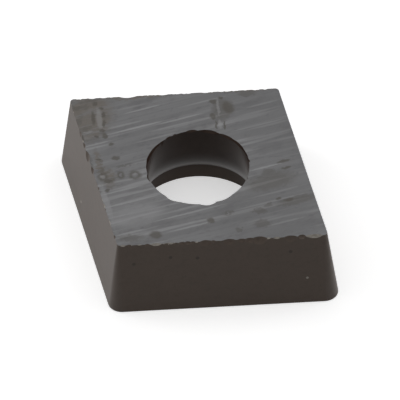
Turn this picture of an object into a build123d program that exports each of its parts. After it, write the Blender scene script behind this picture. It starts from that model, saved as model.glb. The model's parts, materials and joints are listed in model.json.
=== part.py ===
from build123d import *
import math
import os

# Indexable turning insert in cemented carbide. Lengths are in millimetres, angles in degrees.
# The origin is where the hole's axis meets the rake face, the larger of the two flat faces.
# +Z points to the seat face, and the two sharp corners lie along X.

# Body
inscribed_circle = 6.35
thickness = 2.38
point_angle = 80.0
clearance_angle = 7.0
nose_radius = 0.40
edge_hone = 0.03

# Screw hole: a cylinder below the seat face, a round flare for the screw's head, and a land at
# the rake face
hole_diameter = 2.85
hole_rim_radius = 0.02
throat_height = 1.51
mouth_diameter = 3.85
mouth_land = 0.49

# The facet of a chip leans back from upright by the angle of its kind: fresh chips in the sides,
# worn chips in the sides, and chips in the hole's rim
fresh_lean = 35.0
worn_lean = 8.0
rim_lean = 25.0

# Chips on the sides of the seat face. Each has its place along the side, from the blunt
# corner (0) to the sharp corner (1), its length along the edge and its depth into the face.
front_fresh = [
    (0.010, 0.16, 0.030),
    (0.174, 0.35, 0.050),
    (0.235, 0.40, 0.035),
    (0.373, 0.12, 0.028),
    (0.726, 0.16, 0.035),
    (0.770, 0.24, 0.038),
    (0.955, 0.50, 0.065),
]
front_worn = [
    (0.131, 0.14, 0.032),
    (0.303, 0.20, 0.036),
    (0.330, 0.20, 0.046),
    (0.355, 0.16, 0.034),
    (0.420, 0.36, 0.056),
    (0.456, 0.14, 0.034),
    (0.535, 0.36, 0.054),
    (0.595, 0.24, 0.040),
    (0.637, 0.30, 0.056),
    (0.684, 0.44, 0.088),
    (0.838, 0.38, 0.056),
    (0.893, 0.22, 0.070),
]
back_fresh = [
    (0.266, 0.20, 0.022),
    (0.342, 0.35, 0.030),
    (0.431, 0.20, 0.026),
    (0.485, 0.16, 0.022),
    (0.559, 0.35, 0.032),
    (0.732, 0.55, 0.060),
    (0.852, 0.20, 0.024),
    (0.908, 0.22, 0.030),
]
left_fresh = [
    (0.150, 0.30, 0.030),
    (0.270, 0.22, 0.040),
]
left_worn = [
    (0.525, 0.30, 0.050),
    (0.625, 0.45, 0.060),
    (0.700, 0.24, 0.040),
    (0.780, 0.30, 0.030),
]

# Chips on the hole's rim in the seat face. Each has its direction from the axis, its length
# along the rim and its depth into the face.
rim_chips = [
    (-162.0, 1.30, 0.042),
    (-127.0, 0.36, 0.040),
    (-84.0, 0.40, 0.030),
    (-42.0, 0.45, 0.060),
    (-22.0, 0.40, 0.020),
    (72.0, 1.20, 0.030),
    (92.0, 0.50, 0.040),
    (113.0, 0.60, 0.040),
    (134.0, 0.30, 0.032),
    (162.0, 0.20, 0.020),
]


def sin(angle):
    return math.sin(math.radians(angle))


def cos(angle):
    return math.cos(math.radians(angle))


def tan(angle):
    return math.tan(math.radians(angle))


# The flanks lean inwards on the way up, so the seat face is a smaller copy of the rake face
flank_lean = thickness * tan(clearance_angle)
seat_circle_radius = inscribed_circle / 2 - flank_lean
seat_nose_radius = nose_radius - flank_lean
half_point = point_angle / 2

# Each side of the seat face: the direction that it faces, and the one that runs along it
# from its blunt corner to its sharp corner
front_side = (half_point - 90, half_point)
back_side = (half_point + 90, half_point + 180)
left_side = (270 - half_point, 180 - half_point)


def rake_outline():
    """The rounded rhombus of the cutting edge, around the inscribed circle."""
    sharp = inscribed_circle / 2 / sin(half_point)
    blunt = inscribed_circle / 2 / cos(half_point)
    rhombus = Polygon((sharp, 0), (0, blunt), (-sharp, 0), (0, -blunt), align=None)
    return fillet(rhombus.vertices(), nose_radius)


def screw_hole():
    """The room that the screw takes: it widens from the seat face to the rake face."""
    bore = hole_diameter / 2
    mouth = mouth_diameter / 2
    cylinder = Line((bore, thickness), (bore, throat_height))
    flare = TangentArc((bore, throat_height), (mouth, mouth_land), tangent=(0, -1))
    inside = Polyline((mouth, mouth_land), (mouth, 0), (0, 0), (0, thickness), (bore, thickness))
    return revolve(Plane.XZ * make_face(cylinder + flare + inside), Axis.Z)


def direction(angle):
    """The level unit vector at an angle from +X."""
    return Vector(cos(angle), sin(angle), 0)


def side_point(side, share):
    """A point on a straight side of the seat face's edge."""
    facing, running = side
    to_blunt = (seat_circle_radius - seat_nose_radius) * tan(half_point)
    to_sharp = (seat_circle_radius - seat_nose_radius) / tan(half_point)
    along = share * (to_blunt + to_sharp) - to_blunt
    return direction(facing) * seat_circle_radius + direction(running) * along + Vector(0, 0, thickness)


def scoop(edge_point, outward, length, depth, lean, edge_radius=math.inf):
    """The ball that takes a chip from an edge: it meets the edge over the chip's length. A round
    edge turns towards the ball."""
    bite = depth * cos(lean)
    turn_in = length**2 / (8 * edge_radius)
    spread = (length / 2) ** 2 + turn_in**2 - bite**2
    reach = spread / (2 * bite + 2 * turn_in * cos(lean))
    facing = outward * cos(lean) + Vector(0, 0, sin(lean))
    return Pos(edge_point + facing * reach) * Sphere(reach + bite)


def side_scoops(side, chips, lean):
    """The balls of one side's chips."""
    outward = direction(side[0])
    return [scoop(side_point(side, share), outward, length, depth, lean) for share, length, depth in chips]


def rim_scoops():
    """The balls of the chips on the hole's rim."""
    rim_radius = hole_diameter / 2 + hole_rim_radius
    balls = []
    for angle, length, depth in rim_chips:
        outward = direction(angle) * -1
        edge_point = direction(angle) * rim_radius + Vector(0, 0, thickness)
        balls.append(scoop(edge_point, outward, length, depth, rim_lean, rim_radius))
    return balls


def all_scoops():
    """The balls of every chip on the rims of the seat face."""
    return [
        *rim_scoops(),
        *side_scoops(front_side, front_fresh, fresh_lean),
        *side_scoops(front_side, front_worn, worn_lean),
        *side_scoops(back_side, back_fresh, fresh_lean),
        *side_scoops(left_side, left_fresh, fresh_lean),
        *side_scoops(left_side, left_worn, worn_lean),
    ]


def insert_body():
    """The whole insert: a tapered rhombus with its hole, its rounded edges and its chips."""
    block = extrude(rake_outline(), amount=thickness)
    flanks = block.faces().filter_by(Axis.Z, reverse=True)
    body = draft(flanks, Plane.XY, clearance_angle) - screw_hole()
    body = fillet(body.faces().sort_by(Axis.Z)[0].edges(), edge_hone)
    body = fillet(body.faces().sort_by(Axis.Z)[-1].inner_wires().edges(), hole_rim_radius)
    for ball in all_scoops():
        body -= ball
    return body


os.makedirs("parts", exist_ok=True)
export_step(insert_body(), "parts/insert_body.step")
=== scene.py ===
import json
import math
import random

import bmesh
import bpy
from mathutils import Matrix, Vector


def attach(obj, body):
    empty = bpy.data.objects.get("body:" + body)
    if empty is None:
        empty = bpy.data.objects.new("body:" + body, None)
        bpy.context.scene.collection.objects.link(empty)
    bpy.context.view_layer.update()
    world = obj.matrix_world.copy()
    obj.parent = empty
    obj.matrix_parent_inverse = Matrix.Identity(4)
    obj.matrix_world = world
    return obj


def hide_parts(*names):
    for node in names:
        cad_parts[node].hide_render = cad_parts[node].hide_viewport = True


bl_info = {
    "name": "Turning insert",
    "version": (1, 0, 0),
    "blender": (4, 5, 0),
    "location": "3D View > Sidebar > Insert",
    "description": "Models a ground and chipped turning insert of cemented carbide on a plain stage",
    "category": "Object",
}

MM = 0.001
NODE = "insert_body"
BODY = "root"

# Steps of the round surfaces, and the turn between faces below which they are shaded as one
NOSE_STEPS = 14
HOLE_STEPS = 160
FLARE_STEPS = 12
HONE_STEPS = 3
SMOOTH_BELOW = math.radians(24)

# The hole's wall has a ring of its own this far down, below its chips
CHIPPED_DEPTH = 0.2 * MM
# Over this height the painted light on the land gives way to the flare's colour
LIT_LAND_BLUR = 0.08 * MM
# A vertex lies on an axis or a plane where it is nearer to it than this, and a face is level where
# the upright part of its normal is more than this
TINY = 1e-7
LEVEL_FACE = 0.99

# Widths of the grinding strokes on the seat face
STROKE_WIDTH = (0.03 * MM, 0.16 * MM)
# The strokes reach this far from the hole's axis, as a share of the inscribed circle, past the
# corners of the seat face
STROKE_REACH = 0.7

# Chips on the sides of the seat face. Each has its place on the side, from the blunt corner (0)
# to the sharp corner (1), its length along the edge and its depth in mm. Fresh chips show
# broken grain and lean well back. Worn ones are steep and as dark as the skin of the flanks.
FRESH_CHIPS = {
    "front": [
        (0.010, 0.16, 0.030), (0.174, 0.35, 0.050), (0.235, 0.40, 0.035), (0.270, 0.20, 0.020),
        (0.373, 0.12, 0.028), (0.726, 0.16, 0.035), (0.770, 0.24, 0.038), (0.955, 0.50, 0.065),
    ],
    "back": [
        (0.266, 0.20, 0.022), (0.342, 0.35, 0.030), (0.431, 0.20, 0.026), (0.485, 0.16, 0.022),
        (0.559, 0.35, 0.032), (0.732, 0.55, 0.060), (0.852, 0.20, 0.024), (0.908, 0.22, 0.030),
    ],
    "left": [(0.270, 0.22, 0.040), (0.150, 0.30, 0.030)],
}
WORN_CHIPS = {
    "front": [
        (0.131, 0.14, 0.032), (0.303, 0.20, 0.036), (0.330, 0.20, 0.046), (0.355, 0.16, 0.034),
        (0.420, 0.36, 0.056), (0.456, 0.14, 0.034), (0.535, 0.36, 0.054), (0.595, 0.24, 0.040),
        (0.637, 0.30, 0.056), (0.684, 0.44, 0.088), (0.838, 0.38, 0.056), (0.893, 0.22, 0.070),
    ],
    "left": [(0.525, 0.30, 0.050), (0.625, 0.45, 0.060), (0.700, 0.24, 0.040), (0.780, 0.30, 0.030)],
}
FRESH_LEAN = math.radians(35)
WORN_LEAN = math.radians(8)

# Worn chips on the hole's rim: the direction from the axis in degrees, the length and the depth in mm
RIM_CHIPS = [
    (72, 1.20, 0.030), (92, 0.50, 0.040), (113, 0.60, 0.040), (134, 0.30, 0.032),
    (162, 0.20, 0.020), (-162, 1.30, 0.042), (-127, 0.36, 0.040), (-84, 0.40, 0.030),
    (-42, 0.45, 0.060), (-22, 0.40, 0.020),
]
RIM_LEAN = math.radians(25)

# Fine chips: how many of a hundred go to each rim, their length in mm and their depth as a
# share of it
FINE_CHIP_SHARE = {"front": 32, "back": 34, "left": 22, "right": 4, "rim": 8}
FINE_CHIP_LENGTH = (0.05, 0.18)
FINE_CHIP_DEPTH = (0.10, 0.24)
# The leans of the fine chips, as shares of the lean of their kind, and the part of a side that
# they may lie on
FINE_CHIP_LEAN = (0.7, 1.4)
FINE_CHIP_SPAN = (0.01, 0.99)

# How finely the stones that cut the chips are divided, and how rough they are
LARGE_STONE = (4, 0.012)
FINE_STONE = (2, 0.06)

# Marks on the seat face, in mm from the hole's axis: the place, the length and width, the turn
# in degrees and the share of the mark that is hollow. Stains are dark, smudges faint. Painted shade
# darkens the far part and the right side. The wheel has missed some places, and some are rubbed
# bright; the broad rubbed patch near the front is painted light.
STAINS = [
    (0.60, -2.80, 0.42, 0.36, 20, 0), (1.52, -1.45, 0.28, 0.26, 0, 0),
    (1.78, 1.58, 0.46, 0.14, 55, 0), (2.00, 1.43, 0.34, 0.12, 55, 0),
    (2.79, 0.47, 0.32, 0.18, 55, 0), (2.53, 0.33, 0.20, 0.12, 55, 0),
    (-1.25, -1.27, 0.44, 0.42, 0, 0.5), (-1.57, -1.50, 0.36, 0.26, -45, 0.5),
    (-1.71, -1.90, 0.30, 0.18, 25, 0), (-1.94, -1.86, 0.38, 0.36, 0, 0.6),
    (-1.52, -2.19, 0.20, 0.14, 70, 0), (-1.65, -2.38, 0.14, 0.12, 0, 0),
    (-2.08, -1.05, 0.30, 0.20, 40, 0), (-2.49, -0.70, 0.20, 0.16, 50, 0),
    (-2.43, -1.38, 0.20, 0.10, 40, 0), (-2.84, -0.54, 0.26, 0.18, -30, 0),
    (-3.02, -0.42, 0.20, 0.14, 40, 0), (-3.00, -0.70, 0.20, 0.12, 0, 0),
    (-3.15, -0.18, 0.34, 0.12, -60, 0), (-3.36, 0.08, 0.30, 0.14, -50, 0),
    (-3.55, 0.23, 0.20, 0.13, 45, 0), (-3.80, 0.28, 0.20, 0.16, 80, 0),
    (-3.52, -0.18, 0.62, 0.12, -50, 0), (-3.32, -0.96, 0.40, 0.10, -35, 0),
    (-0.70, 2.36, 0.62, 0.40, -35, 0), (-0.85, 1.82, 0.32, 0.20, -40, 0),
    (-1.08, 2.52, 0.16, 0.12, 0, 0), (-1.18, 2.28, 0.26, 0.20, 40, 0),
    (-0.57, 1.62, 0.38, 0.08, -50, 0), (-0.37, 1.74, 0.38, 0.09, -52, 0),
]
SMUDGES = [
    (1.95, 0.75, 1.70, 0.80, 55, 0), (1.70, 1.00, 0.50, 0.30, 55, 0),
    (2.45, -0.03, 0.30, 0.20, 55, 0), (2.37, -0.37, 0.50, 0.26, 40, 0),
    (1.73, -0.93, 0.36, 0.24, 55, 0.3), (2.37, -1.27, 0.30, 0.18, 30, 0),
    (2.73, -0.70, 0.60, 0.36, 40, 0), (0.10, -3.30, 0.90, 0.30, 40, 0),
    (3.00, 0.60, 1.40, 0.40, 55, 0), (-0.80, 2.15, 1.10, 0.60, -50, 0),
    (-4.10, -0.20, 0.50, 0.40, 0, 0), (-0.60, 3.10, 0.60, 0.30, 40, 0),
    (-1.72, -1.15, 0.60, 0.10, 50, 0), (-2.56, -1.60, 0.60, 0.12, -45, 0),
]
# Painted shade: the far part and the right side of the seat face are made darker
PAINTED_SHADE_AREAS = [(0.70, 2.70, 4.00, 2.60, 0, 0), (2.60, -0.40, 3.60, 2.60, 55, 0)]
UNGROUND = [
    (-1.05, 2.98, 3.20, 0.26, 40, 0), (-3.10, 1.15, 2.20, 0.24, 40, 0),
    (-3.65, -0.20, 2.30, 1.50, -60, 0), (-2.20, -1.60, 1.60, 0.24, -40, 0),
    (-1.80, -1.80, 0.90, 0.50, -40, 0),
]
# Rubbed bright marks, and in the last, broad patch near the front edge painted light that makes the near part
# of the face lighter
RUBBED_AND_LIT = [
    (-1.15, -2.68, 2.20, 0.22, -40, 0), (-3.37, -0.10, 0.95, 0.20, -48, 0),
    (-3.30, -0.70, 0.36, 0.10, 50, 0), (-0.93, 2.20, 0.80, 0.08, -48, 0),
    (-0.50, 1.70, 0.42, 0.13, -50, 0), (-1.92, -1.86, 0.20, 0.14, 0, 0),
    (-1.50, -2.46, 0.26, 0.16, 60, 0), (-0.30, -2.50, 2.00, 1.00, 55, 0),
]
# A mark fades out between these shares of its half size, and its hollow between these shares of
# the hollow's. The fringe of its edge has waves of this width.
MARK_EDGE = (1.1, 0.5)
HOLLOW_EDGE = (0.3, 1.2)
FRINGE_WIDTH = 0.12 * MM
# Single long strokes, painted lighter as highlights where they catch the light: the place and the
# length in mm, and their one width
GLINT_STROKES = [
    (0.87, -1.53, 2.6), (-0.69, -2.11, 2.0), (-1.19, -1.95, 1.6), (-0.03, -3.13, 1.0), (-2.27, 0.30, 1.6),
    (-1.53, 1.20, 1.6), (0.00, 3.03, 1.1), (0.40, 2.33, 1.8), (1.53, 1.13, 1.2), (2.43, 0.13, 2.6),
    (-2.85, -0.95, 1.0), (3.20, -0.30, 1.4), (1.25, -1.90, 1.8), (-2.60, 0.90, 1.2),
]
GLINT_STROKE_WIDTH = 0.08

# Pits and pale specks on the flanks, in mm from the origin, and their radius
PITS = [(0.390, -3.545, 1.70), (1.158, -2.873, 1.87), (1.738, -2.398, 1.80), (3.718, -0.728, 1.85)]
SPECKS = [(4.139, -0.530, 0.89), (-2.916, -1.608, 0.56)]
PIT_RADIUS = 0.07
SPECK_RADIUS = 0.05

# Stage, in metres: the floor, and how far off and how large the lamps are
FLOOR_SIZE = 2.0
LIGHT_DISTANCE = 0.12
TOP_LIGHT_SIZE = 0.24
SIDE_LIGHT_SIZE = 0.06
# How far the side lights stand back and up for each metre to the side
SIDE_LIGHT_BACK = 0.35
SIDE_LIGHT_UP = 0.5
# Width of the camera's sensor in mm, and width of the image in pixels
SENSOR = 36.0
IMAGE_SIZE = 400

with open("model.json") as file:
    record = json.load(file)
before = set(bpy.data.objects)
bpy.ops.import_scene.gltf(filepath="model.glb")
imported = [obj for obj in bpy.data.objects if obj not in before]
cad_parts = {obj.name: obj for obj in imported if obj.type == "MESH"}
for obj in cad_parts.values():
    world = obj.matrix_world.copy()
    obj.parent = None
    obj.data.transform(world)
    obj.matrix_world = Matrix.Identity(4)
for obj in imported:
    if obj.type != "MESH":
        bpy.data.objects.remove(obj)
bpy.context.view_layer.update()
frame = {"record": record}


def mount(name):
    """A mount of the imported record: an interface of the insert with its real size and place."""
    return next(m for m in frame["record"]["mounts"] if m["name"] == name)


def flank_facts():
    """Clearance angle, half of the point angle and inscribed circle, as one flank's mount gives them."""
    flank = mount("flank_right")
    x, y, z = flank["pos_m"]
    clearance = math.asin(flank["axis"][2])
    facing = math.atan2(flank["axis"][1], flank["axis"][0])
    radius = math.hypot(x, y) + z * math.tan(clearance)
    return clearance, math.pi / 2 - facing, 2 * radius


def linear(hex_colour):
    """Linear colour of an sRGB hex value."""
    channels = [int(hex_colour[i:i + 2], 16) / 255 for i in (0, 2, 4)]
    return [c / 12.92 if c <= 0.04045 else ((c + 0.055) / 1.055) ** 2.4 for c in channels] + [1.0]


CLEARANCE, HALF_POINT, INSCRIBED = flank_facts()
THICKNESS = mount("seat_face")["pos_m"][2]
BORE = 2 * MM * mount("screw_hole")["dims"]["r_mm"]


class InsertSizes(bpy.types.PropertyGroup):
    """The sizes of the insert."""

    inscribed_circle: bpy.props.FloatProperty(
        name="Inscribed circle", description="Circle that touches all four sides at the cutting edge",
        default=INSCRIBED, unit="LENGTH", precision=5)
    thickness: bpy.props.FloatProperty(
        name="Thickness", description="From the rake face to the seat face",
        default=THICKNESS, unit="LENGTH", precision=5)
    half_point: bpy.props.FloatProperty(
        name="Half point angle", description="Half of the angle of a sharp corner",
        default=HALF_POINT, unit="ROTATION")
    clearance: bpy.props.FloatProperty(
        name="Clearance angle", description="Lean of the flanks from upright",
        default=CLEARANCE, unit="ROTATION")
    nose_radius: bpy.props.FloatProperty(
        name="Nose radius", description="Rounding of the corners at the cutting edge",
        default=0.40 * MM, unit="LENGTH", precision=5)
    edge_hone: bpy.props.FloatProperty(
        name="Edge hone", description="Rounding of the cutting edge",
        default=0.03 * MM, unit="LENGTH", precision=5)
    bore: bpy.props.FloatProperty(
        name="Bore", description="Diameter of the cylinder below the seat face",
        default=BORE, unit="LENGTH", precision=5)
    throat: bpy.props.FloatProperty(
        name="Throat height", description="Height at which the cylinder ends and the flare begins",
        default=1.51 * MM, unit="LENGTH", precision=5)
    mouth: bpy.props.FloatProperty(
        name="Mouth", description="Diameter of the hole at the rake face",
        default=3.85 * MM, unit="LENGTH", precision=5)
    land: bpy.props.FloatProperty(
        name="Mouth land", description="Height of the upright wall at the mouth",
        default=0.49 * MM, unit="LENGTH", precision=5)
    rim_radius: bpy.props.FloatProperty(
        name="Rim radius", description="Rounding of the hole's rim in the seat face",
        default=0.02 * MM, unit="LENGTH", precision=5)


class InsertWear(bpy.types.PropertyGroup):
    """Grinding relief and chipped rims of the seat face."""

    seed: bpy.props.IntProperty(name="Seed", description="Start of the random numbers", default=7)
    groove_depth: bpy.props.FloatProperty(
        name="Groove depth", description="Deepest grinding groove of the seat face",
        default=0.004 * MM, unit="LENGTH", precision=6)
    grinding_angle: bpy.props.FloatProperty(
        name="Grinding direction", description="Direction of the strokes, from the long diagonal",
        default=math.radians(54.9), unit="ROTATION")
    fine_chips: bpy.props.IntProperty(
        name="Fine chips", description="Number of fine chips on the rims of the seat face", default=110)


class InsertFinish(bpy.types.PropertyGroup):
    """Colours of the insert's surfaces."""

    ground: bpy.props.FloatVectorProperty(
        name="Ground", description="Ground seat face", subtype="COLOR", size=4, default=linear("727273"))
    # Lighter grain between the grinding strokes, and also the colour of the painted highlights on the single
    # long strokes and of the rubbed marks
    bright_stroke_and_glint: bpy.props.FloatVectorProperty(
        name="Bright stroke", description="Ridges between the grinding strokes",
        subtype="COLOR", size=4, default=linear("929293"))
    dark_stroke: bpy.props.FloatVectorProperty(
        name="Dark stroke", description="Deep strokes of the seat face",
        subtype="COLOR", size=4, default=linear("504e50"))
    stain: bpy.props.FloatVectorProperty(
        name="Stain", description="Dried coolant and pits of the seat face",
        subtype="COLOR", size=4, default=linear("4a4640"))
    unground: bpy.props.FloatVectorProperty(
        name="Unground", description="Skin that the wheel has left near one corner",
        subtype="COLOR", size=4, default=linear("645e57"))
    skin: bpy.props.FloatVectorProperty(
        name="Skin", description="Sintered skin of the flanks and the rake face",
        subtype="COLOR", size=4, default=linear("584d45"))
    # Darker than the flanks' skin: the wall's own colour, and painted shade in the hole
    hole: bpy.props.FloatVectorProperty(
        name="Hole", description="Wall of the screw hole", subtype="COLOR", size=4, default=linear("382b24"))
    fracture: bpy.props.FloatVectorProperty(
        name="Fracture", description="Broken grain in the fresh chips",
        subtype="COLOR", size=4, default=linear("9a948b"))


class StageSettings(bpy.types.PropertyGroup):
    """Light, floor and camera."""

    azimuth: bpy.props.FloatProperty(
        name="Azimuth", description="Camera's direction round the insert, from the -Y side",
        default=math.radians(37.26), unit="ROTATION")
    elevation: bpy.props.FloatProperty(
        name="Elevation", description="Camera's height above the horizon",
        default=math.radians(46.13), unit="ROTATION")
    roll: bpy.props.FloatProperty(
        name="Roll", description="Turn of the camera about its line of sight",
        default=math.radians(-1.10), unit="ROTATION")
    distance: bpy.props.FloatProperty(
        name="Distance", description="From the aim point to the camera", default=0.45, unit="LENGTH")
    scale: bpy.props.FloatProperty(
        name="Scale", description="Pixels of the image for each millimetre at the aim point", default=35.772)
    aim_up: bpy.props.FloatProperty(
        name="Aim up", description="Aim point above the origin, up the picture",
        default=0.7225 * MM, unit="LENGTH", precision=5)
    aim_right: bpy.props.FloatProperty(
        name="Aim right", description="Aim point to the right of the origin, along the picture",
        default=0.0174 * MM, unit="LENGTH", precision=5)
    top_light: bpy.props.FloatProperty(
        name="Top light", description="Power of the top lamp", default=0.134, unit="POWER")
    left_light: bpy.props.FloatProperty(
        name="Left light", description="Power of the left lamp", default=0.025, unit="POWER")
    right_light: bpy.props.FloatProperty(
        name="Right light", description="Power of the right lamp", default=0.015, unit="POWER")
    ambient: bpy.props.FloatProperty(name="Ambient", description="Strength of the even light", default=0.07)
    floor_bounce: bpy.props.FloatProperty(
        name="Floor bounce", description="Share of the light that the floor throws back",
        default=0.38, subtype="FACTOR")
    floor_white: bpy.props.FloatProperty(
        name="Floor white", description="Plain white in the floor's look", default=0.51, subtype="FACTOR")
    floor_lit: bpy.props.FloatProperty(
        name="Floor lit", description="Share of the light on the floor in its look",
        default=1.0, subtype="FACTOR")


def node(tree, kind, inputs=None, **properties):
    """Adds a node with its settings; an input takes a value or another node's output."""
    made = tree.nodes.new("ShaderNode" + kind)
    for name, value in properties.items():
        setattr(made, name, value)
    for name, value in (inputs or {}).items():
        if isinstance(value, bpy.types.NodeSocket):
            tree.links.new(made.inputs[name], value)
        else:
            made.inputs[name].default_value = value
    return made


def clear_selection():
    bpy.ops.object.select_all(action="DESELECT")


def make_active(piece):
    """Selects one object alone."""
    clear_selection()
    piece.select_set(True)
    bpy.context.view_layer.objects.active = piece


def edit(piece):
    """Opens one object alone in edit mode."""
    make_active(piece)
    bpy.ops.object.mode_set(mode="EDIT")


def leave_edit():
    bpy.ops.object.mode_set(mode="OBJECT")


def pick(kind, wanted):
    """In edit mode, selects the vertices, edges or faces that pass a test."""
    bpy.ops.mesh.select_mode(type={"verts": "VERT", "edges": "EDGE", "faces": "FACE"}[kind])
    bpy.ops.mesh.select_all(action="DESELECT")
    mesh = bpy.context.edit_object.data
    found = bmesh.from_edit_mesh(mesh)
    for item in getattr(found, kind):
        if wanted(item):
            item.select_set(True)
    found.select_flush_mode()
    bmesh.update_edit_mesh(mesh)


def faces_up(face):
    return face.normal.z > LEVEL_FACE


def level(angle):
    """The level unit vector at an angle from +X."""
    return Vector((math.cos(angle), math.sin(angle), 0))


def rhombus_blank(sizes, skin, ground):
    """The tapered rhombus: a four-sided disc, its corners rounded, inset upwards to the seat face."""
    radius = sizes.inscribed_circle / 2
    half = sizes.half_point
    bpy.ops.mesh.primitive_circle_add(vertices=4, radius=radius, fill_type="NGON", enter_editmode=True)
    piece = bpy.context.object
    piece.name = piece.data.name = "insert"
    bpy.ops.mesh.select_all(action="SELECT")
    bpy.ops.transform.resize(value=(1 / math.sin(half), 1 / math.cos(half), 1))
    for corner, on_corner in ((half, lambda v: abs(v.co.y) < TINY),
                              (math.pi / 2 - half, lambda v: abs(v.co.x) < TINY)):
        # With this profile the bevel's middle lies on the round nose
        profile = (1 - 1 / (2 + 2 * math.sin(corner))) ** 2
        pick("verts", on_corner)
        bpy.ops.mesh.bevel(offset=sizes.nose_radius / math.tan(corner), segments=NOSE_STEPS,
                           profile=profile, affect="VERTICES")
    bpy.ops.mesh.select_mode(type="FACE")
    bpy.ops.mesh.select_all(action="SELECT")
    lean = sizes.thickness * math.tan(sizes.clearance)
    bpy.ops.mesh.inset(thickness=lean, depth=sizes.thickness)
    pick("edges", lambda e: e.is_boundary)
    bpy.ops.mesh.edge_face_add()
    bpy.ops.mesh.select_all(action="SELECT")
    bpy.ops.mesh.normals_make_consistent(inside=False)
    pick("edges", lambda e: all(abs(v.co.z) < TINY for v in e.verts))
    bpy.ops.mesh.bevel(offset=sizes.edge_hone, segments=HONE_STEPS, profile=0.5, affect="EDGES")
    leave_edit()
    piece.data.materials.append(skin)
    piece.data.materials.append(ground)
    for face in piece.data.polygons:
        face.material_index = int(faces_up(face))
    return piece


def grind_seat(piece, sizes, wear, rng):
    """Cuts the seat face along its grinding strokes and lowers the lines between them a little."""
    across = level(wear.grinding_angle + math.pi / 2)
    reach = sizes.inscribed_circle * STROKE_REACH
    edit(piece)
    step = -reach
    while step < reach:
        pick("faces", faces_up)
        bpy.ops.mesh.bisect(plane_co=across * step + Vector((0, 0, sizes.thickness)), plane_no=across)
        bpy.ops.transform.translate(value=(0, 0, -wear.groove_depth * rng.random() ** 2))
        step += rng.uniform(*STROKE_WIDTH)
    leave_edit()


def hole_profile(sizes):
    """Radius and height of the rings of the hole below its cylinder: a round flare, then the land."""
    widening, fall = (sizes.mouth - sizes.bore) / 2, sizes.throat - sizes.land
    radius = (widening ** 2 + fall ** 2) / (2 * widening)
    sweep = math.asin(fall / radius)
    rings = []
    for step in range(1, FLARE_STEPS + 1):
        turn = sweep * step / FLARE_STEPS
        ring_radius = sizes.bore / 2 + radius * (1 - math.cos(turn))
        rings.append((ring_radius, sizes.throat - radius * math.sin(turn)))
    rings.append((sizes.mouth / 2, -sizes.land))
    return rings


def hole_plug(sizes, wall):
    """The room of the screw: a cylinder whose ends are extruded ring by ring to the rim and the mouth."""
    bore = sizes.bore / 2
    top = sizes.thickness - sizes.rim_radius
    chipped = top - CHIPPED_DEPTH
    bpy.ops.mesh.primitive_cylinder_add(
        vertices=HOLE_STEPS, radius=bore, depth=chipped - sizes.throat, end_fill_type="NGON",
        location=(0, 0, (chipped + sizes.throat) / 2), enter_editmode=True)
    plug = bpy.context.object
    rim_edge_radius = bore + sizes.rim_radius
    rim = [(bore, top), (rim_edge_radius, sizes.thickness), (rim_edge_radius, sizes.thickness * 2)]
    for side, start, rings in ((1, chipped, rim), (-1, sizes.throat, hole_profile(sizes))):
        pick("faces", lambda face: face.normal.z * side > LEVEL_FACE)
        radius, height = bore, start
        for next_radius, next_height in rings:
            bpy.ops.mesh.extrude_region_move(TRANSFORM_OT_translate={"value": (0, 0, next_height - height)})
            bpy.ops.transform.resize(value=(next_radius / radius, next_radius / radius, 1))
            radius, height = next_radius, next_height
    leave_edit()
    bpy.ops.object.transform_apply(location=True, rotation=True, scale=True)
    plug.data.materials.append(wall)
    return plug


def subtract(piece, tools, name):
    """Cuts a group of objects from a piece, applies the cut and removes them."""
    group = bpy.data.collections.new(name)
    bpy.context.scene.collection.children.link(group)
    for tool in tools:
        for owner in tool.users_collection:
            owner.objects.unlink(tool)
        group.objects.link(tool)
    cut = piece.modifiers.new(name, "BOOLEAN")
    cut.operation = "DIFFERENCE"
    cut.solver = "EXACT"
    cut.operand_type = "COLLECTION"
    cut.collection = group
    cut.material_mode = "TRANSFER"
    make_active(piece)
    bpy.ops.object.modifier_apply(modifier=cut.name)
    for tool in tools:
        bpy.data.objects.remove(tool)
    bpy.data.collections.remove(group)


def chip_stones(fineness, materials, rng):
    """Faceted stones of radius 1, one of each material, whose copies cut the chips."""
    divisions, roughness = fineness
    stones = []
    for material in materials:
        bpy.ops.mesh.primitive_ico_sphere_add(subdivisions=divisions, radius=1, enter_editmode=True)
        bpy.ops.mesh.select_all(action="SELECT")
        bpy.ops.transform.vertex_random(offset=roughness, seed=rng.randrange(1000))
        leave_edit()
        stones.append(bpy.context.object)
        stones[-1].data.materials.append(material)
    return stones


def place_stone(stone, edge, chip, lean, rng):
    """A copy of a stone that meets an edge over a chip's length and bites into it by its depth."""
    edge_point, outward, roundness = edge
    length, depth = chip
    bite = depth * math.cos(lean)
    # A round rim turns towards the stone by this much over the chip's length
    turn_in = roundness * length ** 2 / 8
    spread = (length / 2) ** 2 + turn_in ** 2 - bite ** 2
    radius = spread / (2 * bite + 2 * turn_in * math.cos(lean)) + bite
    facing = outward * math.cos(lean) + Vector((0, 0, math.sin(lean)))
    copy = stone.copy()
    copy.data = stone.data.copy()
    bpy.context.scene.collection.objects.link(copy)
    copy.location = edge_point + facing * (radius - bite)
    copy.rotation_euler = [rng.uniform(0, math.tau) for _ in range(3)]
    copy.scale = (radius,) * 3
    return copy


def side_edge(sizes, side, share):
    """A point on a side of the seat face, from its blunt corner (0) to its sharp corner (1), the
    direction that the side faces, and its roundness, which is none."""
    half, right = sizes.half_point, math.pi / 2
    facing, running = {
        "front": (level(half - right), level(half)),
        "back": (level(half + right), level(half + math.pi)),
        "left": (level(3 * right - half), level(math.pi - half)),
        "right": (level(right - half), level(-half)),
    }[side]
    lean = sizes.thickness * math.tan(sizes.clearance)
    radius = sizes.inscribed_circle / 2 - lean
    straight = radius - (sizes.nose_radius - lean)
    to_blunt, to_sharp = straight * math.tan(half), straight / math.tan(half)
    along = share * (to_blunt + to_sharp) - to_blunt
    return facing * radius + running * along + Vector((0, 0, sizes.thickness)), facing, 0


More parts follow.
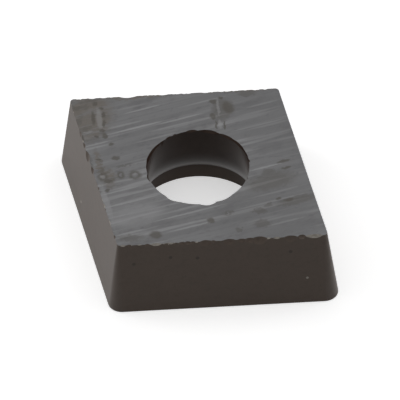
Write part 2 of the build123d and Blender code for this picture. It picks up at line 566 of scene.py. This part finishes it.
def rim_edge(sizes, angle):
    """A point on the hole's rim in the seat face, the direction to the axis, and the roundness."""
    outward = level(angle)
    radius = sizes.bore / 2 + sizes.rim_radius
    return outward * radius + Vector((0, 0, sizes.thickness)), -outward, 1 / radius


def chip_rims(piece, sizes, wear, rng, materials):
    """Chips the rims of the seat face: the large chips at their places, and many fine ones."""
    large = chip_stones(LARGE_STONE, materials, rng)
    fine = chip_stones(FINE_STONE, materials, rng)
    cuts = []
    for stone, lean, sides in zip(large, (FRESH_LEAN, WORN_LEAN), (FRESH_CHIPS, WORN_CHIPS)):
        for side, chips in sides.items():
            for share, length, depth in chips:
                edge = side_edge(sizes, side, share)
                cuts.append(place_stone(stone, edge, (length * MM, depth * MM), lean, rng))
    for angle, length, depth in RIM_CHIPS:
        edge = rim_edge(sizes, math.radians(angle))
        cuts.append(place_stone(large[2], edge, (length * MM, depth * MM), RIM_LEAN, rng))
    for _ in range(wear.fine_chips):
        side = rng.choices(list(FINE_CHIP_SHARE), list(FINE_CHIP_SHARE.values()))[0]
        length = rng.uniform(*FINE_CHIP_LENGTH) * MM
        chip = (length, length * rng.uniform(*FINE_CHIP_DEPTH))
        if side == "rim":
            edge, stone, lean = rim_edge(sizes, rng.uniform(0, math.tau)), fine[2], RIM_LEAN
        else:
            edge = side_edge(sizes, side, rng.uniform(*FINE_CHIP_SPAN))
            stone, lean = rng.choice(((fine[0], FRESH_LEAN), (fine[1], WORN_LEAN)))
        cuts.append(place_stone(stone, edge, chip, lean * rng.uniform(*FINE_CHIP_LEAN), rng))
    subtract(piece, cuts, "chips")
    for stone in large + fine:
        bpy.data.objects.remove(stone)


def shade(piece):
    """Smooths what is round, and keeps the flat faces flat."""
    make_active(piece)
    bpy.ops.object.shade_smooth_by_angle(angle=SMOOTH_BELOW)
    weighted = piece.modifiers.new("weighted normals", "WEIGHTED_NORMAL")
    weighted.keep_sharp = True
    bpy.ops.object.modifier_apply(modifier=weighted.name)


def new_material(name):
    """A material, its node tree and its shader."""
    material = bpy.data.materials.new(name)
    material.use_nodes = True
    return material, material.node_tree, material.node_tree.nodes["Principled BSDF"]


def grain(tree, length, width, angle=0.0, detail=2.0):
    """Noise on the object's own coordinates, with a real length and width in mm along a direction."""
    place = node(tree, "TexCoord").outputs["Object"]
    turned = node(tree, "Mapping", {"Vector": place, "Rotation": (0, 0, angle),
                                    "Scale": (length * MM, width * MM, width * MM)}, vector_type="TEXTURE")
    return node(tree, "TexNoise", {"Vector": turned.outputs["Vector"], "Scale": 1.0, "Detail": detail,
                                   "Roughness": 0.6}).outputs["Fac"]


def patches(tree, size, span, most=1.0, detail=2.0):
    """Soft patches of a real size, at most this strong; the span sets how much room they take.
    The size is a length, a width and the direction of the length."""
    length, width, angle = size
    low, high = span
    return node(tree, "MapRange", {
        "Value": grain(tree, length, width, angle, detail), "From Min": low, "From Max": high,
        "To Max": most}, interpolation_type="SMOOTHSTEP").outputs["Result"]


def coated(tree, base, coats):
    """A colour under coats of other colours, each of which shows where its mask is 1."""
    colour = base
    for mask, coat in coats:
        colour = node(tree, "Mix", {0: mask, 6: colour, 7: coat}, data_type="RGBA").outputs[2]
    return colour


def tone(colour, share):
    """A colour made darker or lighter by a share of itself."""
    return [channel * share for channel in colour[:3]] + [1.0]


def marks(tree, spots, fringe, most, height):
    """A mask of marks on the seat face, with fringed edges; each may be long, turned and hollow."""
    place = node(tree, "TexCoord").outputs["Object"]
    wander = node(tree, "TexNoise", {"Vector": place, "Scale": 1 / FRINGE_WIDTH, "Detail": 2.0})
    centred = node(tree, "VectorMath", {0: wander.outputs["Color"], 1: (0.5, 0.5, 0.5)}, operation="SUBTRACT")
    moved = node(tree, "VectorMath", {0: centred.outputs["Vector"], "Scale": fringe * MM},
                 operation="SCALE").outputs["Vector"]
    place = node(tree, "VectorMath", {0: place, 1: moved}, operation="ADD").outputs["Vector"]
    mask = 0.0
    for x, y, length, width, turn, hollow in spots:
        spot = node(tree, "Mapping", {
            "Vector": place, "Location": (x * MM, y * MM, height), "Rotation": (0, 0, math.radians(turn)),
            "Scale": (length / 2 * MM, width / 2 * MM, 1.0)}, vector_type="TEXTURE").outputs["Vector"]
        away = node(tree, "VectorMath", {0: spot}, operation="LENGTH").outputs["Value"]
        outer, inner = MARK_EDGE
        disc = node(tree, "MapRange", {"Value": away, "From Min": outer, "From Max": inner, "To Max": most},
                    interpolation_type="SMOOTHSTEP").outputs["Result"]
        if hollow:
            low, high = (hollow * share for share in HOLLOW_EDGE)
            ring = node(tree, "MapRange", {"Value": away, "From Min": low, "From Max": high},
                        interpolation_type="SMOOTHSTEP").outputs["Result"]
            disc = node(tree, "Math", {0: disc, 1: ring}, operation="MULTIPLY").outputs[0]
        mask = node(tree, "Math", {0: mask, 1: disc}, operation="MAXIMUM").outputs[0]
    return mask


def flecks(tree, places, radius):
    """A mask of round flecks at places on the flanks."""
    place = node(tree, "TexCoord").outputs["Object"]
    mask = 0.0
    for spot in places:
        centre = [length * MM for length in spot]
        away = node(tree, "VectorMath", {0: place, 1: centre}, operation="DISTANCE").outputs["Value"]
        disc = node(tree, "MapRange", {"Value": away, "From Min": radius * MM, "From Max": radius * MM / 2},
                    interpolation_type="SMOOTHSTEP").outputs["Result"]
        mask = node(tree, "Math", {0: mask, 1: disc}, operation="MAXIMUM").outputs[0]
    return mask


def ground_carbide_and_painted_light(finish, wear, height):
    """Cemented carbide ground with a diamond wheel: to the eye, dull grey with a silky grain of
    parallel strokes. Single long strokes are painted lighter as highlights, painted shade darkens
    the far part and the right side, and a broad rubbed patch near the front is painted light."""
    material, tree, shader = new_material("ground_carbide_and_painted_light")
    angle = wear.grinding_angle
    shader.inputs["Metallic"].default_value = 0.2
    shader.inputs["Roughness"].default_value = 0.5
    shader.inputs["Specular IOR Level"].default_value = 0.3
    strokes = [(x, y, length, GLINT_STROKE_WIDTH, math.degrees(angle), 0.0) for x, y, length in GLINT_STROKES]
    scuffed = coated(tree, finish.unground, [
        (patches(tree, (0.35, 0.22, angle), (0.45, 0.60), 0.5), tone(finish.stain, 0.9)),
        (patches(tree, (0.70, 0.08, angle), (0.50, 0.62), 0.5), finish.ground),
    ])
    # The wheel's real strokes are a few thousandths wide. They are drawn as wide as a picture shows.
    colour = coated(tree, finish.ground, [
        (patches(tree, (4.0, 0.12, angle), (0.38, 0.62), 0.45, 1.0), tone(finish.ground, 0.70)),
        (patches(tree, (6.0, 0.35, angle), (0.42, 0.58), 0.3, 1.0), tone(finish.ground, 0.80)),
        (patches(tree, (0.9, 0.45, angle), (0.50, 0.66), 0.3, 3.0), finish.dark_stroke),
        (patches(tree, (0.25, 0.10, angle), (0.56, 0.70), 0.3), finish.dark_stroke),
        (patches(tree, (3.0, 0.15, angle), (0.54, 0.72), 0.5, 1.0), finish.bright_stroke_and_glint),
        # Painted highlights: the single long strokes made lighter where they catch the light
        (marks(tree, strokes, 0.03, 0.55, height), finish.bright_stroke_and_glint),
        # Painted shade: the far part and the right side of the seat face darker
        (marks(tree, PAINTED_SHADE_AREAS, 0.30, 0.4, height), tone(finish.ground, 0.70)),
        (marks(tree, SMUDGES, 0.25, 0.45, height), finish.stain),
        (marks(tree, UNGROUND, 0.45, 0.80, height), scuffed),
        (marks(tree, STAINS, 0.10, 0.75, height), finish.stain),
        # Rubbed marks, and painted light on the broad patch near the front edge
        (marks(tree, RUBBED_AND_LIT, 0.10, 0.38, height), finish.bright_stroke_and_glint),
    ])
    tree.links.new(shader.inputs["Base Color"], colour)
    relief = node(tree, "Bump", {"Height": grain(tree, 3.0, 0.12, angle), "Distance": 0.01 * MM})
    tree.links.new(shader.inputs["Normal"], relief.outputs["Normal"])
    return material


def sintered_skin(finish):
    """Cemented carbide as it leaves the furnace: to the eye, a smooth dark brown skin that
    mirrors pale things faintly when seen aslant."""
    material, tree, shader = new_material("sintered_skin")
    shader.inputs["Roughness"].default_value = 0.45
    shader.inputs["Specular IOR Level"].default_value = 0.22
    colour = coated(tree, finish.skin, [
        (patches(tree, (0.9, 0.9, 0.0), (0.35, 0.65), 0.6, 3.0), tone(finish.skin, 0.92)),
        (patches(tree, (0.14, 0.14, 0.0), (0.50, 0.72), 0.5), tone(finish.skin, 0.82)),
        (flecks(tree, PITS, PIT_RADIUS), tone(finish.skin, 0.55)),
        (flecks(tree, SPECKS, SPECK_RADIUS), finish.fracture),
    ])
    tree.links.new(shader.inputs["Base Color"], colour)
    # The skin's real grain is finer than a thousandth. This relief is as coarse as a picture shows.
    relief = node(tree, "Bump", {"Height": grain(tree, 0.05, 0.05), "Distance": 0.0015 * MM})
    tree.links.new(shader.inputs["Normal"], relief.outputs["Normal"])
    return material


def hole_wall_painted_light(finish, land):
    """The hole's wall, pressed by a polished pin and sintered: to the eye, nearly black, its own dark
    colour made darker as painted shade, with a soft gleam where the flare turns away. On the land
    at the mouth it has painted light: the flanks' brown made lighter, as the floor would light it."""
    material, tree, shader = new_material("hole_wall_painted_light")
    shader.inputs["Roughness"].default_value = 0.3
    shader.inputs["Specular IOR Level"].default_value = 0.11
    place = node(tree, "TexCoord").outputs["Object"]
    up = node(tree, "SeparateXYZ", {"Vector": place}).outputs["Z"]
    lit_land = node(tree, "MapRange", {"Value": up, "From Min": land + LIT_LAND_BLUR, "From Max": land},
                   interpolation_type="SMOOTHSTEP").outputs["Result"]
    colour = coated(tree, finish.hole, [
        (patches(tree, (0.3, 0.3, 0.0), (0.3, 0.7), 0.5), tone(finish.hole, 1.3)),
        # Painted light: the land at the mouth lighter than the flanks' skin, as if lit by the floor
        (lit_land, tone(finish.skin, 1.6)),
    ])
    tree.links.new(shader.inputs["Base Color"], colour)
    relief = node(tree, "Bump", {"Height": grain(tree, 0.08, 0.08), "Distance": 0.001 * MM})
    tree.links.new(shader.inputs["Normal"], relief.outputs["Normal"])
    return material


def broken_carbide(finish):
    """Fresh fracture of the carbide: to the eye, pale crystals that glitter unevenly."""
    material, tree, shader = new_material("broken_carbide")
    shader.inputs["Roughness"].default_value = 0.6
    colour = coated(tree, finish.fracture, [
        (patches(tree, (0.08, 0.08, 0.0), (0.40, 0.65), 0.7), tone(finish.fracture, 0.6)),
    ])
    tree.links.new(shader.inputs["Base Color"], colour)
    relief = node(tree, "Bump", {"Height": grain(tree, 0.05, 0.05), "Distance": 0.005 * MM})
    tree.links.new(shader.inputs["Normal"], relief.outputs["Normal"])
    return material


class INSERT_OT_model(bpy.types.Operator):
    """Model the insert: blank, grinding strokes, hole, chips and finish"""

    bl_idname = "insert.model"
    bl_label = "Model the insert"

    def execute(self, context):
        scene = context.scene
        sizes, wear, finish = scene.insert_sizes, scene.insert_wear, scene.insert_finish
        rng = random.Random(wear.seed)
        skin, fracture = sintered_skin(finish), broken_carbide(finish)
        wall = hole_wall_painted_light(finish, sizes.land)
        clear_selection()
        piece = rhombus_blank(sizes, skin, ground_carbide_and_painted_light(finish, wear, sizes.thickness))
        grind_seat(piece, sizes, wear, rng)
        subtract(piece, [hole_plug(sizes, wall)], "hole")
        chip_rims(piece, sizes, wear, rng, (fracture, skin, wall))
        shade(piece)
        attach(piece, BODY)
        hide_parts(NODE)
        return {"FINISHED"}


def seen(tree):
    """1 for what the camera, a reflection or a clear surface looks at, 0 for light on the insert."""
    rays = node(tree, "LightPath").outputs
    looked_at = rays["Is Camera Ray"]
    for kind in ("Is Glossy Ray", "Is Transmission Ray"):
        looked_at = node(tree, "Math", {0: looked_at, 1: rays[kind]}, operation="MAXIMUM").outputs[0]
    return looked_at


def pale_board(stage):
    """The floor: white to the eye, with the insert's soft shadow on it."""
    material = bpy.data.materials.new("pale_board")
    material.use_nodes = True
    tree = material.node_tree
    tree.nodes.clear()
    looked_at = seen(tree)
    bounce, lit = [stage.floor_bounce] * 3 + [1.0], [stage.floor_lit] * 3 + [1.0]
    paper = node(tree, "BsdfDiffuse", {"Color": coated(tree, bounce, [(looked_at, lit)])})
    share = node(tree, "Math", {0: looked_at, 1: stage.floor_white}, operation="MULTIPLY")
    white = node(tree, "Emission", {"Strength": share.outputs[0]})
    both = node(tree, "AddShader", {0: paper.outputs[0], 1: white.outputs[0]})
    node(tree, "OutputMaterial", {"Surface": both.outputs[0]})
    return material


def studio_world(stage):
    """Even dim light all round, white where the eye or a reflection looks past the floor."""
    world = bpy.data.worlds.new("studio")
    world.use_nodes = True
    tree = world.node_tree
    tree.nodes.clear()
    strength = node(tree, "MapRange", {"Value": seen(tree), "To Min": stage.ambient, "To Max": 1.0})
    back = node(tree, "Background", {"Color": (1, 1, 1, 1), "Strength": strength.outputs[0]})
    node(tree, "OutputWorld", {"Surface": back.outputs[0]})
    bpy.context.scene.world = world


def soft_light(name, direction, size, power):
    """A square lamp that faces the insert from a direction."""
    turn = (-direction).to_track_quat("-Z", "Y").to_euler()
    bpy.ops.object.light_add(type="AREA", location=direction.normalized() * LIGHT_DISTANCE, rotation=turn)
    lamp = bpy.context.object
    lamp.name = name
    lamp.data.size = size
    lamp.data.energy = power
    lamp.visible_camera = False


def long_lens(stage):
    """The camera: a long lens at the photograph's angle, framed by its scale in pixels."""
    a, e = stage.azimuth, stage.elevation
    back = Vector((math.sin(a) * math.cos(e), -math.cos(a) * math.cos(e), math.sin(e)))
    turn = (-back).to_track_quat("-Z", "Y").to_matrix() @ Matrix.Rotation(stage.roll, 3, "Z")
    aim = turn @ Vector((stage.aim_right, stage.aim_up, 0))
    bpy.ops.object.camera_add(location=aim + back * stage.distance, rotation=turn.to_euler())
    camera = bpy.context.object
    camera.data.sensor_width = SENSOR
    camera.data.lens = stage.scale / MM * stage.distance / IMAGE_SIZE * SENSOR
    camera.data.clip_start = stage.distance / 100
    camera.data.clip_end = stage.distance * 10
    bpy.context.scene.camera = camera


class INSERT_OT_stage(bpy.types.Operator):
    """Set up the floor, the soft light and the camera"""

    bl_idname = "insert.stage"
    bl_label = "Set the stage"

    def execute(self, context):
        stage = context.scene.insert_stage
        clear_selection()
        bpy.ops.mesh.primitive_plane_add(size=FLOOR_SIZE, location=(0, 0, 0))
        floor = context.object
        floor.name = floor.data.name = "floor"
        floor.data.materials.append(pale_board(stage))
        studio_world(stage)
        right = level(stage.azimuth)
        away = level(stage.azimuth + math.pi / 2)
        up = Vector((0, 0, 1))
        behind = away * SIDE_LIGHT_BACK + up * SIDE_LIGHT_UP
        soft_light("top light", up, TOP_LIGHT_SIZE, stage.top_light)
        soft_light("left light", behind - right, SIDE_LIGHT_SIZE, stage.left_light)
        soft_light("right light", behind + right, SIDE_LIGHT_SIZE, stage.right_light)
        long_lens(stage)
        context.scene.view_settings.view_transform = "Standard"
        return {"FINISHED"}


class INSERT_PT_panel(bpy.types.Panel):
    """The insert's sizes, wear, finish and stage"""

    bl_idname = "INSERT_PT_panel"
    bl_label = "Turning insert"
    bl_space_type = "VIEW_3D"
    bl_region_type = "UI"
    bl_category = "Insert"

    def draw(self, context):
        for title, group in (("Sizes", "insert_sizes"), ("Wear", "insert_wear"),
                             ("Finish", "insert_finish"), ("Stage", "insert_stage")):
            box = self.layout.box()
            box.label(text=title)
            settings = getattr(context.scene, group)
            for name in settings.__annotations__:
                box.prop(settings, name)
        self.layout.operator(INSERT_OT_stage.bl_idname)
        self.layout.operator(INSERT_OT_model.bl_idname)


GROUPS = {
    "insert_sizes": InsertSizes,
    "insert_wear": InsertWear,
    "insert_finish": InsertFinish,
    "insert_stage": StageSettings,
}
CLASSES = [*GROUPS.values(), INSERT_OT_stage, INSERT_OT_model, INSERT_PT_panel]


def register():
    for cls in CLASSES:
        bpy.utils.register_class(cls)
    for name, cls in GROUPS.items():
        setattr(bpy.types.Scene, name, bpy.props.PointerProperty(type=cls))


def unregister():
    for name in GROUPS:
        delattr(bpy.types.Scene, name)
    for cls in reversed(CLASSES):
        bpy.utils.unregister_class(cls)


def main():
    register()
    bpy.ops.insert.stage()
    bpy.ops.insert.model()


if __name__ == "__main__":
    main()
